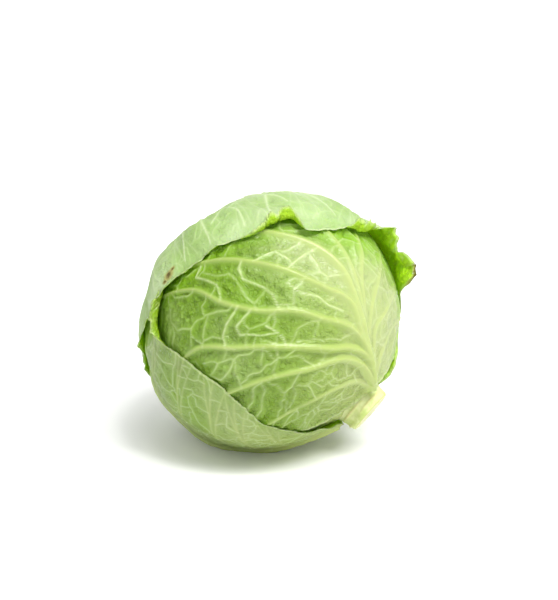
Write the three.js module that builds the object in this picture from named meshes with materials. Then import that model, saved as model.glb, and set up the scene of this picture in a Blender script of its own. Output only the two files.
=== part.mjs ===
// A round head of green cabbage, cut from its root and resting on its side.
// It is built from the inside out, as it grew: a stalk whose core runs up into the head, a heart of
// tightly folded inner leaves, and eight wrapper leaves that lie over the heart one after another.
// Millimetres, +Z up. The origin is the middle of the small flat spot that the head rests on.
import * as THREE from "three";

const rad = THREE.MathUtils.degToRad;

// Driving dimensions of the head
const HEART_EQUATOR = 78.2; // heart radius square to the head's axis
const HEART_POLE = 68.4; // heart radius along the axis
const LEAF_THICKNESS = 1.1; // blade of a wrapper leaf
const LEAF_GAP = 1.2; // air between a leaf and the one under it
const CAP_LOOSE = 0.8; // the outermost leaf lies looser than the others
const HEAD_RADIUS = 85; // middle radius, which turns a distance on the head into an angle
const FLAT_SPOT_RADIUS = 20; // the spot that the head rests on
const FLAT_SPOT_EASE = 3.2; // softens the edge of that spot in the layers above the resting leaf

// How the head lies: the axis runs from the stalk up to the crown
const AXIS_ELEVATION = 35.5;
const AXIS_AZIMUTH = 154.7;
const FACE_ELEVATION = 18; // turn 0 is the meridian that faces -Y and this far up

// The stalk and its core
const STALK_RADIUS = 15.4;
const STALK_END = 86; // from the middle of the head to the cut end
const STALK_EDGE = 1.6; // worn edge of the cut
const CORE_TIP_RADIUS = 5;
const CORE_TIP = 26; // from the middle of the head to the inner end of the core
const FIT_GAP = 0.4; // between the core and its socket in the heart

// The wrapper leaves
const LEAF_BASE = 12.8; // degrees from the stem pole, where each leaf leaves the stalk
const NECK_WIDTH = 32; // degrees of bearing over which a blade narrows to its base
const DRAPE_START = 6; // past the margin of a leaf below, where the next leaf begins to settle
const DRAPE = 18; // distance over which it settles
const RIB_START = -0.12; // share of the midrib that lies behind the leaf's base
const RIB_NARROW = 3; // half width of a midrib at the tip
const RIB_WIDEN = 8; // what the base adds to that
const RIB_TAPER = 1.3; // above 1, the height falls off faster near the base
const RIB_ROOM_UP = 1.25; // room that the next leaf leaves over a midrib, against its height
const RIB_ROOM_ACROSS = 1.9; // and against its width

// Colours and finishes: the leaves' own colours are in LEAVES
const HEART_COLOUR = 0xe6efc0;
const STALK_COLOUR = 0xe8ecc4;
const LEAF_ROUGHNESS = 0.55;
const HEART_ROUGHNESS = 0.6;
const STALK_ROUGHNESS = 0.7;

// Mesh fineness
const LEAF_RINGS = 10;
const LEAF_SECTORS = 40;
const RESTING_LEAF_RINGS = 18; // finer, so that its flat spot is wide on every side
const RESTING_LEAF_SECTORS = 60;
const MIDRIB_CROWDING = 0.25; // draws the sectors together along the midrib
const HEART_RINGS = 18;
const HEART_SECTORS = 36;
const STALK_SIDES = 36;

// From inside to outside. turn: meridian of the midrib. centre: degrees from the stem pole to the
// middle of the blade. left, right, tip: how far the blade reaches from there. rib: midrib height.
const LEAVES = [
  { name: "leaf_8_inner", turn: 56, centre: 100, left: 80, right: 80, tip: 70, rib: 1.2, colour: 0xdcebb0 },
  { name: "leaf_7_inner", turn: 290, centre: 100, left: 80, right: 80, tip: 70, rib: 1.4, colour: 0xd5e8a6 },
  { name: "leaf_6_back", turn: 184, centre: 95, left: 75, right: 75, tip: 70, rib: 1.8, colour: 0xc4de92 },
  { name: "leaf_5_under", turn: 321, centre: 90, left: 72, right: 72, tip: 70, rib: 1.8, colour: 0xbfdc8a },
  { name: "leaf_4_right", turn: 98, centre: 95, left: 80, right: 80, tip: 75, rib: 2.2, colour: 0xbbd983 },
  { name: "leaf_3_front", turn: 35, centre: 95, left: 92, right: 92, tip: 90, rib: 4, colour: 0xa9d162 },
  { name: "leaf_2_left", turn: 265, centre: 102, left: 88, right: 66, tip: 68, rib: 4, colour: 0xb2d175 },
  { name: "leaf_1_cap", turn: 151, centre: 134.5, left: 94, right: 80, tip: 99, rib: 4, colour: 0xc3dc9c },
];
const RESTING_LEAF = 6; // place in LEAVES of the leaf that the head lies on
const CAP_LEAF = 7;

// Places where the cap leaf's margin stands off the head: bearing, half width, height
const CAP_FLARES = [
  { bearing: 114, spread: 38, height: 14 },
  { bearing: 59, spread: 12, height: 5 },
];
const FLARE_REACH = 24; // degrees from the margin inwards over which a flare rises

const towards = (elevation, azimuth) =>
  new THREE.Vector3(
    Math.cos(rad(elevation)) * Math.cos(rad(azimuth)),
    Math.cos(rad(elevation)) * Math.sin(rad(azimuth)),
    Math.sin(rad(elevation)),
  );

const CROWN = towards(AXIS_ELEVATION, AXIS_AZIMUTH);
const FACE = towards(FACE_ELEVATION, -90);
const TURN_0 = FACE.clone().addScaledVector(CROWN, -FACE.dot(CROWN)).normalize();
const TURN_90 = new THREE.Vector3().crossVectors(CROWN, TURN_0);

// A direction from the middle of the head, by meridian and by degrees from the stem pole.
function direction(turn, fromStem) {
  const round = Math.sin(rad(fromStem));
  return new THREE.Vector3()
    .addScaledVector(CROWN, -Math.cos(rad(fromStem)))
    .addScaledVector(TURN_0, round * Math.cos(rad(turn)))
    .addScaledVector(TURN_90, round * Math.sin(rad(turn)));
}

function smooth(x) {
  const t = THREE.MathUtils.clamp(x, 0, 1);
  return t * t * (3 - 2 * t);
}

// The two slow swells that keep the heart from being a perfect ellipsoid.
const SWELLS = [
  { along: new THREE.Vector3(0.36, -0.48, 0.8), height: 0.8, waves: 3.1, start: 0.6 },
  { along: new THREE.Vector3(0.8, 0.36, -0.48), height: 0.6, waves: 4.3, start: 2 },
];

function heartRadius(d) {
  const a = d.dot(CROWN);
  let radius = 1 / Math.sqrt((a / HEART_POLE) ** 2 + (1 - a * a) / HEART_EQUATOR ** 2);
  for (const s of SWELLS) radius += s.height * Math.sin(s.waves * d.dot(s.along) + s.start);
  return radius;
}

// A blade's own axes: out through its middle, towards its tip, and sideways.
function bladeFrame(leaf) {
  const out = direction(leaf.turn, leaf.centre);
  const tip = direction(leaf.turn, leaf.centre + 90);
  return { ...leaf, out, tipward: tip, side: new THREE.Vector3().crossVectors(out, tip) };
}

const BLADES = LEAVES.map(bladeFrame);

// How far the blade reaches from its middle, in radians, at a bearing that is 0 at the tip.
function reach(leaf, bearing) {
  const c = Math.cos(bearing);
  const side = bearing < 0 ? leaf.right : leaf.left;
  const blade = c > 0 ? side + (leaf.tip - side) * c * c : side;
  const neck = Math.exp(-(((Math.abs(bearing) - Math.PI) / rad(NECK_WIDTH)) ** 2));
  return rad(blade * (1 - neck) + (leaf.centre - LEAF_BASE) * neck);
}

function bladeDirection(leaf, away, bearing) {
  return new THREE.Vector3()
    .addScaledVector(leaf.out, Math.cos(away))
    .addScaledVector(leaf.tipward, Math.sin(away) * Math.cos(bearing))
    .addScaledVector(leaf.side, Math.sin(away) * Math.sin(bearing));
}

// 1 where the leaf lies over a direction, falling to 0 a little beyond its margin.
function cover(leaf, d) {
  const away = Math.acos(THREE.MathUtils.clamp(d.dot(leaf.out), -1, 1));
  const bearing = Math.atan2(d.dot(leaf.side), d.dot(leaf.tipward));
  return 1 - smooth(((away - reach(leaf, bearing)) * HEAD_RADIUS - DRAPE_START) / DRAPE);
}

// Height of the midrib over the blade, high and wide at the base and gone at the tip.
function ribHeight(leaf, d, up, across) {
  const base = rad(leaf.centre - LEAF_BASE);
  const along = (Math.atan2(d.dot(leaf.tipward), d.dot(leaf.out)) + base) / (base + rad(leaf.tip));
  if (along < RIB_START || along > 1) return 0;
  const left = 1 - Math.max(along, 0);
  const halfWidth = (RIB_NARROW + RIB_WIDEN * left) * across;
  const off = Math.abs(Math.asin(THREE.MathUtils.clamp(d.dot(leaf.side), -1, 1))) * HEAD_RADIUS;
  const x = Math.min(off / halfWidth, 1);
  return leaf.rib * left ** RIB_TAPER * up * (1 - x * x) ** 2;
}

// Radius at which a leaf's inner face lies: the heart, and each leaf and midrib under it.
function innerRadius(index, d) {
  let radius = heartRadius(d) + LEAF_GAP + (index === CAP_LEAF ? CAP_LOOSE : 0);
  for (const leaf of BLADES.slice(0, index)) {
    radius += cover(leaf, d) * (LEAF_THICKNESS + LEAF_GAP);
    radius += ribHeight(leaf, d, RIB_ROOM_UP, RIB_ROOM_ACROSS);
  }
  return radius;
}

function outerRadius(index, d) {
  return innerRadius(index, d) + LEAF_THICKNESS + ribHeight(BLADES[index], d, 1, 1);
}

// The head's own weight presses it flat where it rests. The resting leaf's outer face meets the
// table, and every layer above it gives way by a little more, so that no two layers touch.
const DOWN = new THREE.Vector3(0, 0, -1);
const MIDDLE_HEIGHT = Math.sqrt(outerRadius(RESTING_LEAF, DOWN) ** 2 - FLAT_SPOT_RADIUS ** 2);
const LOWEST_FLATTENED = -0.5; // directions less steep than this are never pressed

function tableRadius(d) {
  return d.z < LOWEST_FLATTENED ? MIDDLE_HEIGHT / -d.z : Infinity;
}

// 0 well before the table, the full excess well past it, and a smooth curve between.
function easedExcess(excess) {
  if (excess <= -FLAT_SPOT_EASE) return 0;
  if (excess >= FLAT_SPOT_EASE) return excess;
  return (excess + FLAT_SPOT_EASE) ** 2 / (4 * FLAT_SPOT_EASE);
}

function pressedIn(d) {
  return easedExcess(innerRadius(RESTING_LEAF, d) + LEAF_THICKNESS - tableRadius(d));
}

function fromMiddle(d, radius) {
  const p = d.clone().multiplyScalar(radius);
  p.z += MIDDLE_HEIGHT;
  return p;
}

function layerPoint(d, radius) {
  return fromMiddle(d, radius - pressedIn(d));
}

function innerFace(index, d, lift) {
  return layerPoint(d, innerRadius(index, d) + lift);
}

function outerFace(index, d, lift) {
  const radius = outerRadius(index, d) + lift;
  return index === RESTING_LEAF ? fromMiddle(d, Math.min(radius, tableRadius(d))) : layerPoint(d, radius);
}

// How far the cap leaf stands off the head near its margin.
function capFlare(away, bearing) {
  const edge = reach(BLADES[CAP_LEAF], bearing);
  const rise = THREE.MathUtils.clamp(1 - (edge - away) / rad(FLARE_REACH), 0, 1) ** 2;
  let height = 0;
  for (const f of CAP_FLARES) {
    const x = Math.abs(bearing - rad(f.bearing)) / rad(f.spread);
    height += f.height * (1 - smooth(x));
  }
  return height * rise;
}

// A closed surface from a pole point, rings of points round it, and a last pole point.
function ringedSolid(firstPole, rings, lastPole) {
  const count = rings[0].length;
  const points = [firstPole, ...rings.flat(), lastPole];
  const faces = [];
  const at = (ring, k) => 1 + ring * count + (k % count);
  for (let k = 0; k < count; k++) {
    faces.push(0, at(0, k), at(0, k + 1));
    faces.push(points.length - 1, at(rings.length - 1, k + 1), at(rings.length - 1, k));
    for (let r = 0; r + 1 < rings.length; r++) {
      faces.push(at(r, k), at(r + 1, k), at(r + 1, k + 1));
      faces.push(at(r, k), at(r + 1, k + 1), at(r, k + 1));
    }
  }
  const geometry = new THREE.BufferGeometry().setFromPoints(points);
  geometry.setIndex(faces);
  geometry.computeVertexNormals();
  return geometry;
}

function piece(name, geometry, colour, roughness) {
  const material = new THREE.MeshStandardMaterial({ color: colour, roughness, metalness: 0 });
  const mesh = new THREE.Mesh(geometry, material);
  mesh.name = name;
  return mesh;
}

// A wrapper leaf: its outer face from the middle to the margin, then its inner face back again.
function makeLeaf(index) {
  const leaf = BLADES[index];
  const rings = index === RESTING_LEAF ? RESTING_LEAF_RINGS : LEAF_RINGS;
  const sectors = index === RESTING_LEAF ? RESTING_LEAF_SECTORS : LEAF_SECTORS;
  const bearings = Array.from({ length: sectors }, (_, k) => {
    const even = (2 * Math.PI * k) / sectors - Math.PI;
    return even - (MIDRIB_CROWDING / 2) * Math.sin(2 * even);
  });
  const ring = (share, face) =>
    bearings.map((bearing) => {
      const away = reach(leaf, bearing) * share;
      const lift = index === CAP_LEAF ? capFlare(away, bearing) : 0;
      return face(index, bladeDirection(leaf, away, bearing), lift);
    });
  const shares = Array.from({ length: rings }, (_, r) => (r + 1) / rings);
  const outside = shares.map((share) => ring(share, outerFace));
  const inside = shares.map((share) => ring(share, innerFace)).reverse();
  const geometry = ringedSolid(
    outerFace(index, leaf.out, 0),
    [...outside, ...inside],
    innerFace(index, leaf.out, 0),
  );
  return piece(leaf.name, geometry, leaf.colour, LEAF_ROUGHNESS);
}

// The core narrows from the stalk's radius at the heart's surface to its blunt inner end.
const CORE_ANGLE = Math.atan2(STALK_RADIUS - CORE_TIP_RADIUS, HEART_POLE - CORE_TIP);

// The heart: the crown, rings down to the stem end, and the tapered socket that holds the core.
function makeHeart() {
  const mouthRadius = STALK_RADIUS + FIT_GAP;
  const mouth = THREE.MathUtils.radToDeg(Math.asin(mouthRadius / HEART_POLE));
  const turns = Array.from({ length: HEART_SECTORS }, (_, k) => (360 * k) / HEART_SECTORS);
  const skin = Array.from({ length: HEART_RINGS }, (_, r) => {
    const fromStem = 180 - ((180 - mouth) * (r + 1)) / HEART_RINGS;
    return turns.map((turn) => direction(turn, fromStem)).map((d) => layerPoint(d, heartRadius(d)));
  });
  const inAxis = (turn, radius, depth) => {
    const across = direction(turn, 90).multiplyScalar(radius);
    const p = across.addScaledVector(CROWN, -depth);
    p.z += MIDDLE_HEIGHT;
    return p;
  };
  const socketFloor = CORE_TIP - FIT_GAP;
  const floorRadius = CORE_TIP_RADIUS + FIT_GAP / Math.cos(CORE_ANGLE);
  const socket = turns.map((turn) => inAxis(turn, floorRadius, socketFloor));
  const top = layerPoint(CROWN, heartRadius(CROWN));
  const geometry = ringedSolid(top, [...skin, socket], inAxis(0, 0, socketFloor));
  return piece("heart", geometry, HEART_COLOUR, HEART_ROUGHNESS);
}

// The stalk outside the head and its core inside, turned about the head's axis.
function makeStalk() {
  const profile = [
    [0, CORE_TIP],
    [CORE_TIP_RADIUS, CORE_TIP],
    [STALK_RADIUS, HEART_POLE],
    [STALK_RADIUS, STALK_END - STALK_EDGE],
    [STALK_RADIUS - STALK_EDGE, STALK_END],
    [0, STALK_END],
  ].map(([radius, height]) => new THREE.Vector2(radius, height));
  const solid = new THREE.LatheGeometry(profile, STALK_SIDES);
  const stalk = piece("stalk", solid, STALK_COLOUR, STALK_ROUGHNESS);
  stalk.quaternion.setFromUnitVectors(new THREE.Vector3(0, 1, 0), CROWN.clone().negate());
  stalk.position.set(0, 0, MIDDLE_HEIGHT);
  return stalk;
}

const cabbage = new THREE.Group();
cabbage.add(makeStalk(), makeHeart());
BLADES.forEach((_, index) => cabbage.add(makeLeaf(index)));

export default cabbage;
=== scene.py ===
# %% [markdown]
# # A head of green cabbage
# A cabbage head is a short stalk with leaves folded round it, one over the next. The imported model
# holds each of those pieces as a plain closed solid at its real size and place. This file gives each
# one its real surface: the fat ribs, the branching veins, the puckered blade between them, the
# ruffled margin of the outermost leaf, and the cut end of the stalk.
#
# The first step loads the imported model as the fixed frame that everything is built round.

# %% Load the frame
import math

import bpy
import numpy as np
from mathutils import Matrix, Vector
from mathutils.kdtree import KDTree


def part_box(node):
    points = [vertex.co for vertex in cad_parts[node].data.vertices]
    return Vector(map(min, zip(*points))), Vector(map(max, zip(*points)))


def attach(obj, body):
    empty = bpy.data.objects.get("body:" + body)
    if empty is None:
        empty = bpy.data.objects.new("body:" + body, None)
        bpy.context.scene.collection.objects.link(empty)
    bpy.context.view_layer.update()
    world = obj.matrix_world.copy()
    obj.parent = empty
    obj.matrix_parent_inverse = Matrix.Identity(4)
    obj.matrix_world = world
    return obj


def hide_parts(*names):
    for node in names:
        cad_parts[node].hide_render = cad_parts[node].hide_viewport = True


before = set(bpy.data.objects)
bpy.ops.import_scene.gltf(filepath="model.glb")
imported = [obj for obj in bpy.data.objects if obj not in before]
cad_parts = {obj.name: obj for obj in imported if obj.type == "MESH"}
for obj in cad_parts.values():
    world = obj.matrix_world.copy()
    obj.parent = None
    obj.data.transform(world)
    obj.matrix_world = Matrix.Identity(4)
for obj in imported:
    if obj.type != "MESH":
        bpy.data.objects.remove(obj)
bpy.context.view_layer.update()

MM = 0.001

# %% [markdown]
# ## How the head is laid out
# Every point of the head is easiest to name by the direction it has from the middle of the head and
# its distance from there. The head's own axis runs from the stem up to the crown. A direction is then
# a turn round that axis and an angle from the stem end, as longitude and latitude are on a globe.
# The sizes are those of the solids in the frame, in millimetres and degrees.

# %% Sizes of the head
HEART_EQUATOR = 78.2
HEART_POLE = 68.4
BLADE_THICKNESS = 1.1
LEAF_GAP = 1.2
CAP_LOOSE = 0.8
HEAD_RADIUS = 85.0
FLAT_SPOT_RADIUS = 20.0
FLAT_SPOT_EASE = 3.2
AXIS_ELEVATION = 35.5
AXIS_AZIMUTH = 154.7
FACE_ELEVATION = 18.0
LEAF_BASE = 12.8
NECK_WIDTH = 32.0
DRAPE_START = 6.0
DRAPE = 18.0
RIB_START = -0.12
RIB_NARROW = 3.0
RIB_WIDEN = 8.0
RIB_TAPER = 1.3
RIB_ROOM_UP = 1.25
RIB_ROOM_ACROSS = 1.9


def unit(vector):
    return vector / np.linalg.norm(vector)


def towards(elevation, azimuth):
    e, a = np.radians((elevation, azimuth))
    return np.array([np.cos(e) * np.cos(a), np.cos(e) * np.sin(a), np.sin(e)])


CROWN = towards(AXIS_ELEVATION, AXIS_AZIMUTH)
FACE = towards(FACE_ELEVATION, -90)
TURN_0 = unit(FACE - FACE.dot(CROWN) * CROWN)
TURN_90 = np.cross(CROWN, TURN_0)


def direction(turn, from_stem):
    """Unit directions for turns round the axis and angles from the stem end, in degrees."""
    t, s = np.radians(turn), np.radians(from_stem)
    t, s = np.broadcast_arrays(t, s)
    across = np.cos(t)[..., None] * TURN_0 + np.sin(t)[..., None] * TURN_90
    return np.sin(s)[..., None] * across - np.cos(s)[..., None] * CROWN


def smooth(x):
    x = np.clip(x, 0, 1)
    return x * x * (3 - 2 * x)


# %% [markdown]
# ## Slow swells and fine crinkles
# Leaves are never quite even. One helper gives all the unevenness: it adds up a few dozen plane waves
# of nearly one length but random directions, which makes gentle random hills of that size. It is
# seeded, so that the same hills come back on every run.

# %% Random hills
def hills(points, size, seed, waves=22):
    """Random hills at points (millimetres), about size across, mostly between -1 and 1."""
    rng = np.random.default_rng(seed)
    along = rng.normal(size=(waves, 3))
    along /= np.linalg.norm(along, axis=1)[:, None]
    along *= (2 * np.pi / size * rng.uniform(0.7, 1.35, waves))[:, None]
    phase = rng.uniform(0, 2 * np.pi, waves)
    total = np.zeros(len(points))
    for k, p in zip(along, phase):
        total += np.sin(points @ k + p)
    return total / math.sqrt(waves / 2) * 0.6


# %% [markdown]
# ## The heart and the layers over it
# The heart is a slightly flat ball with two slow swells. Each leaf lies on what is under it, so its
# distance from the middle is the heart's, plus each leaf and midrib that it covers. Where the head
# rests, its weight presses a small spot flat, and the layers above give way by as much.

# %% Layers
SWELLS = (((0.36, -0.48, 0.8), 0.8, 3.1, 0.6), ((0.8, 0.36, -0.48), 0.6, 4.3, 2.0))


def heart_radius(d):
    a = d @ CROWN
    radius = 1 / np.sqrt((a / HEART_POLE) ** 2 + (1 - a * a) / HEART_EQUATOR**2)
    for along, height, waves, start in SWELLS:
        radius = radius + height * np.sin(waves * (d @ np.array(along)) + start)
    return radius


class Blade:
    """One wrapper leaf: where its middle lies on the head and how far it reaches from there."""

    def __init__(self, node, turn, centre, left, right, tip, rib):
        self.node, self.turn, self.centre, self.rib = node, turn, centre, rib
        self.left, self.right, self.tip = left, right, tip
        self.out = direction(turn, centre)
        self.tipward = direction(turn, centre + 90)
        self.side = np.cross(self.out, self.tipward)

    def reach(self, bearing):
        """Degrees from the middle of the blade to its margin, at a bearing that is 0 at the tip."""
        c = np.cos(bearing)
        side = np.where(bearing < 0, self.right, self.left)
        blade = np.where(c > 0, side + (self.tip - side) * c * c, side)
        neck = np.exp(-(((np.abs(bearing) - np.pi) / np.radians(NECK_WIDTH)) ** 2))
        return blade * (1 - neck) + (self.centre - LEAF_BASE) * neck

    def place(self, d):
        """Degrees from the middle, and bearing in radians."""
        away = np.degrees(np.arccos(np.clip(d @ self.out, -1, 1)))
        return away, np.arctan2(d @ self.side, d @ self.tipward)

    def heading(self, bearing):
        return np.cos(bearing)[..., None] * self.tipward + np.sin(bearing)[..., None] * self.side

    def outward(self, away, bearing):
        """The direction at a distance and bearing from the middle of the blade."""
        a = np.radians(away)
        return np.cos(a)[..., None] * self.out + np.sin(a)[..., None] * self.heading(bearing)

    def edgeward(self, away, bearing):
        """The way to the margin along the leaf, at the same place."""
        a = np.radians(away)
        return np.cos(a)[..., None] * self.heading(bearing) - np.sin(a)[..., None] * self.out

    def inside_margin(self, d):
        """Millimetres from the margin inwards; below 0 beyond the leaf."""
        away, bearing = self.place(d)
        return np.radians(self.reach(bearing) - away) * HEAD_RADIUS

    def cover(self, d):
        return 1 - smooth((-self.inside_margin(d) - DRAPE_START) / DRAPE)

    def rib_height(self, d, up, across):
        base = np.radians(self.centre - LEAF_BASE)
        along = (np.arctan2(d @ self.tipward, d @ self.out) + base) / (base + np.radians(self.tip))
        left = 1 - np.clip(along, 0, 1)
        off = np.abs(np.arcsin(np.clip(d @ self.side, -1, 1))) * HEAD_RADIUS
        x = np.clip(off / ((RIB_NARROW + RIB_WIDEN * left) * across), 0, 1)
        on_rib = (along >= RIB_START) & (along <= 1)
        return self.rib * left**RIB_TAPER * up * (1 - x * x) ** 2 * on_rib


# From inside to outside, as the leaves lie: turn of the midrib, middle of the blade, its reach to the
# left, right and tip, and the height of its midrib.
BLADES = [
    Blade("leaf_8_inner", 56, 100, 80, 80, 70, 1.2),
    Blade("leaf_7_inner", 290, 100, 80, 80, 70, 1.4),
    Blade("leaf_6_back", 184, 95, 75, 75, 70, 1.8),
    Blade("leaf_5_under", 321, 90, 72, 72, 70, 1.8),
    Blade("leaf_4_right", 98, 95, 80, 80, 75, 2.2),
    Blade("leaf_3_front", 35, 95, 92, 92, 90, 4.0),
    Blade("leaf_2_left", 265, 102, 88, 66, 68, 4.0),
    Blade("leaf_1_cap", 151, 134.5, 94, 80, 99, 4.0),
]
LEFT, CAP, FRONT = 6, 7, 5


def inner_radius(index, d):
    """Distance of a leaf's inner face from the middle of the head, before the flat spot."""
    radius = heart_radius(d) + LEAF_GAP + (CAP_LOOSE if index == CAP else 0)
    for blade in BLADES[:index]:
        radius = radius + blade.cover(d) * (BLADE_THICKNESS + LEAF_GAP)
        radius = radius + blade.rib_height(d, RIB_ROOM_UP, RIB_ROOM_ACROSS)
    return radius


DOWN = np.array([[0, 0, -1.0]])
resting_radius = inner_radius(LEFT, DOWN) + BLADE_THICKNESS + BLADES[LEFT].rib_height(DOWN, 1, 1)
MIDDLE_HEIGHT = float(np.sqrt(resting_radius[0] ** 2 - FLAT_SPOT_RADIUS**2))
MIDDLE = np.array([0, 0, MIDDLE_HEIGHT])


def table_radius(d):
    """Distance from the middle of the head to the table, or far away where the head clears it."""
    return np.where(d[:, 2] < -0.5, MIDDLE_HEIGHT / np.maximum(-d[:, 2], 0.5), 1e6)


def pressed_in(d):
    """How far the resting head gives way at each direction, with a soft edge to its flat spot."""
    ease = FLAT_SPOT_EASE
    excess = inner_radius(LEFT, d) + BLADE_THICKNESS - table_radius(d)
    eased = (np.clip(excess, -ease, ease) + ease) ** 2 / (4 * ease)
    return np.where(excess >= ease, excess, eased)


heart_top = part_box("heart")[1].z / MM
print("middle of the head", round(MIDDLE_HEIGHT, 1), "mm up, top of the heart", round(heart_top, 1))

# %% [markdown]
# ## The veins of a leaf
# A cabbage leaf is carried by one fat midrib. Side veins leave it low down at a narrow angle, swing
# out, and fork on their way to the margin. Between them runs a net of thin links that wander, kink
# and end on each other. The side veins could be drawn on every leaf, but only the front leaf
# shows them all, so that leaf gets drawn ones and the rest get them by rule. The links are grown:
# each one walks in small steps from a vein until it meets another.
#
# Veins are laid out on the leaf spread flat, in degrees forward and aside from the blade's middle.

# %% Flat leaf and back
def spread_flat(blade, d):
    away, bearing = blade.place(d)
    return np.stack([away * np.cos(bearing), away * np.sin(bearing)], -1)


def wrapped(blade, flat):
    flat = np.asarray(flat, float)
    return blade.outward(np.hypot(flat[:, 0], flat[:, 1]), np.arctan2(flat[:, 1], flat[:, 0]))


def within(blade, flat, share=0.985):
    bearing = np.arctan2(flat[1], flat[0])
    return math.hypot(*flat) < float(blade.reach(np.array(bearing))) * share


# %% [markdown]
# A vein is a curve on the flat leaf. It has a rank, since a midrib, a side vein and a link differ in
# size, and it thins towards its end.

# %% Veins
DEGREE = math.radians(1) * HEAD_RADIUS  # millimetres of leaf for one degree
VEIN_STEP = 0.8
MIDRIB, MAIN, LINK = range(3)


class Vein:
    """A line of points on the flat leaf with a half width and a height that shrink along it."""

    def __init__(self, rank, points, width, height, clear=1.0):
        self.rank, self.clear = rank, clear
        points = np.array(points, float)
        self.flat = self._curve(points) if rank != LINK else self._steps(points)
        share = np.linspace(0, 1, len(self.flat))
        self.width = width[0] + (width[1] - width[0]) * share**0.8
        self.height = height[0] + (height[1] - height[0]) * share**0.8

    @staticmethod
    def _steps(points):
        """The same line with a point every VEIN_STEP."""
        lengths = np.linalg.norm(np.diff(points, axis=0), axis=1) * DEGREE
        s = np.concatenate([[0], np.cumsum(lengths)])
        at = np.linspace(0, s[-1], max(3, int(s[-1] / VEIN_STEP)))
        return np.stack([np.interp(at, s, points[:, 0]), np.interp(at, s, points[:, 1])], -1)

    @classmethod
    def _curve(cls, points):
        """A smooth curve through the points (Catmull-Rom)."""
        if len(points) < 3:
            return cls._steps(points)
        p = np.vstack([2 * points[0] - points[1], points, 2 * points[-1] - points[-2]])
        out = []
        for i in range(1, len(p) - 2):
            for t in np.linspace(0, 1, 12, endpoint=False):
                a, b, c, d = p[i - 1], p[i], p[i + 1], p[i + 2]
                out.append(0.5 * (2 * b + (c - a) * t + (2 * a - 5 * b + 4 * c - d) * t**2
                                  + (3 * b - a - 3 * c + d) * t**3))
        out.append(points[-1])
        return cls._steps(np.array(out))


# %% [markdown]
# The front leaf's ribs fan out from the stem end: the midrib almost straight, three strong side veins
# swinging down to the left, and a fan of low, straight ones on the right.

# %% Drawn veins of the front leaf
FRONT_MIDRIB = ((-82, 0), (-66, 3), (-48, 3.5), (-32, 0.5), (-20, -2.5), (-9, -2), (2, 1), (14, 6),
                (40, 14), (70, 18))
STRONG_MAINS = 4  # the first ones of the next table
FRONT_MAINS = (
    ((-68, 3), (-46, 6), (-31, 3.5), (-19, 9.5), (-9, 14), (5, 20), (20, 27), (42, 38), (60, 46)),
    ((-70, 3), (-52, 5), (-38, 10), (-28, 18), (-17, 25.5), (-6, 35), (8, 41), (24, 43), (44, 52)),
    ((-72, 3), (-56, 6), (-46, 14), (-39, 23), (-27, 35), (-17, 44), (-8, 52), (6, 62), (14, 78)),
    ((-74, 4), (-60, 9), (-48, 19), (-40, 34), (-32, 46), (-26, 56), (-16, 74)),
    ((-76, 4), (-68, 12), (-60, 24), (-54, 40), (-50, 58), (-46, 72)),
    ((-44, 3), (-30, -4.5), (-18, -9.5), (-8, -12), (6, -14), (30, -16), (60, -20)),
    ((-62, 2), (-47, 3), (-39, -1), (-32, -7), (-24, -13), (-18, -20), (-6, -32), (16, -52), (30, -70)),
    ((-66, 2), (-55, 2.5), (-47, -1), (-38, -12), (-32, -22), (-27, -32), (-14, -52), (-4, -72)),
    ((-72, 0), (-60, -1), (-50, -7), (-47, -17), (-45, -28), (-43, -38), (-36, -58), (-30, -76)),
    ((-76, -1), (-66, -8), (-60, -22), (-58, -40), (-54, -66)),
)
FRONT_LINKS = (
    ((28, 33), (27, 38), (21, 37), (15, 36.5), (11, 39), (8.5, 41)),
    ((12, 24), (11.5, 26.5), (7, 29), (3, 28), (-1, 27), (-6, 26.5), (-10, 28), (-12.5, 29),
     (-15, 27.5)),
    ((8, 21), (7, 17.5), (5, 12.5), (-2, 11.5), (-5, 13.5)),
    ((-13, 37), (-17, 36), (-21.5, 35.5), (-25, 37)),
    ((1, 38.5), (0.5, 47), (-1, 51), (-5, 54), (-9, 52)),
    ((-4, 36.5), (-3.5, 45), (-7, 46.5), (-9, 44.5), (-14, 41), (-18, 36)),
    ((-4, 15.5), (-4, 10), (-4.5, 4.5), (-6, -1)),
    ((-31, 9), (-25, 13), (-20, 14), (-15, 18), (-13, 19), (-8, 19.5)),
)


def front_veins():
    veins = [Vein(MIDRIB, FRONT_MIDRIB, (7.4, 1.9), (4.2, 0.7))]
    for k, points in enumerate(FRONT_MAINS):
        strong = k < STRONG_MAINS
        width = (5.0, 1.5) if strong else (3.8, 1.3)
        height = (3.5, 1.4) if strong else (1.4, 0.5)
        veins.append(Vein(MAIN, points, width, height))
    veins += [Vein(LINK, points, (1.2, 0.85), (0.8, 0.55)) for points in FRONT_LINKS]
    return veins


# %% [markdown]
# The cap leaf has long, thin, nearly straight veins that run square to its margin. The few that show
# best are given as rows of (degrees from the middle of the blade, bearing).

# %% Drawn veins of the cap leaf
CAP_LINES = (
    ((54, 52), (63, 60), (70, 65), (78, 67)), ((60, 39), (69.5, 41), (79, 45), (87, 46), (93, 46)),
    ((70, 28), (82, 30), (91, 31), (95, 31)), ((62, 46), (69, 40), (83, 33.5)),
    ((36, 52), (44, 62), (49, 72.5), (57, 75), (68, 76)),
    ((6, 30), (16, 67), (26, 86), (44, 92), (66, 92)),
    ((3, 40), (7, 78), (8, 86), (24, 100), (48, 106)), ((70, 18), (82, 19), (94, 18)),
    ((66, 60), (80, 58), (90, 57)), ((60, 82), (74, 84), (88, 85)),
)


def cap_lines():
    veins = []
    for row in CAP_LINES:
        turns = [(away, math.radians(turn)) for away, turn in row]
        flat = [(away * math.cos(turn), away * math.sin(turn)) for away, turn in turns]
        veins.append(Vein(MAIN, flat, (1.7, 1.0), (0.7, 0.35)))
    return veins


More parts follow.
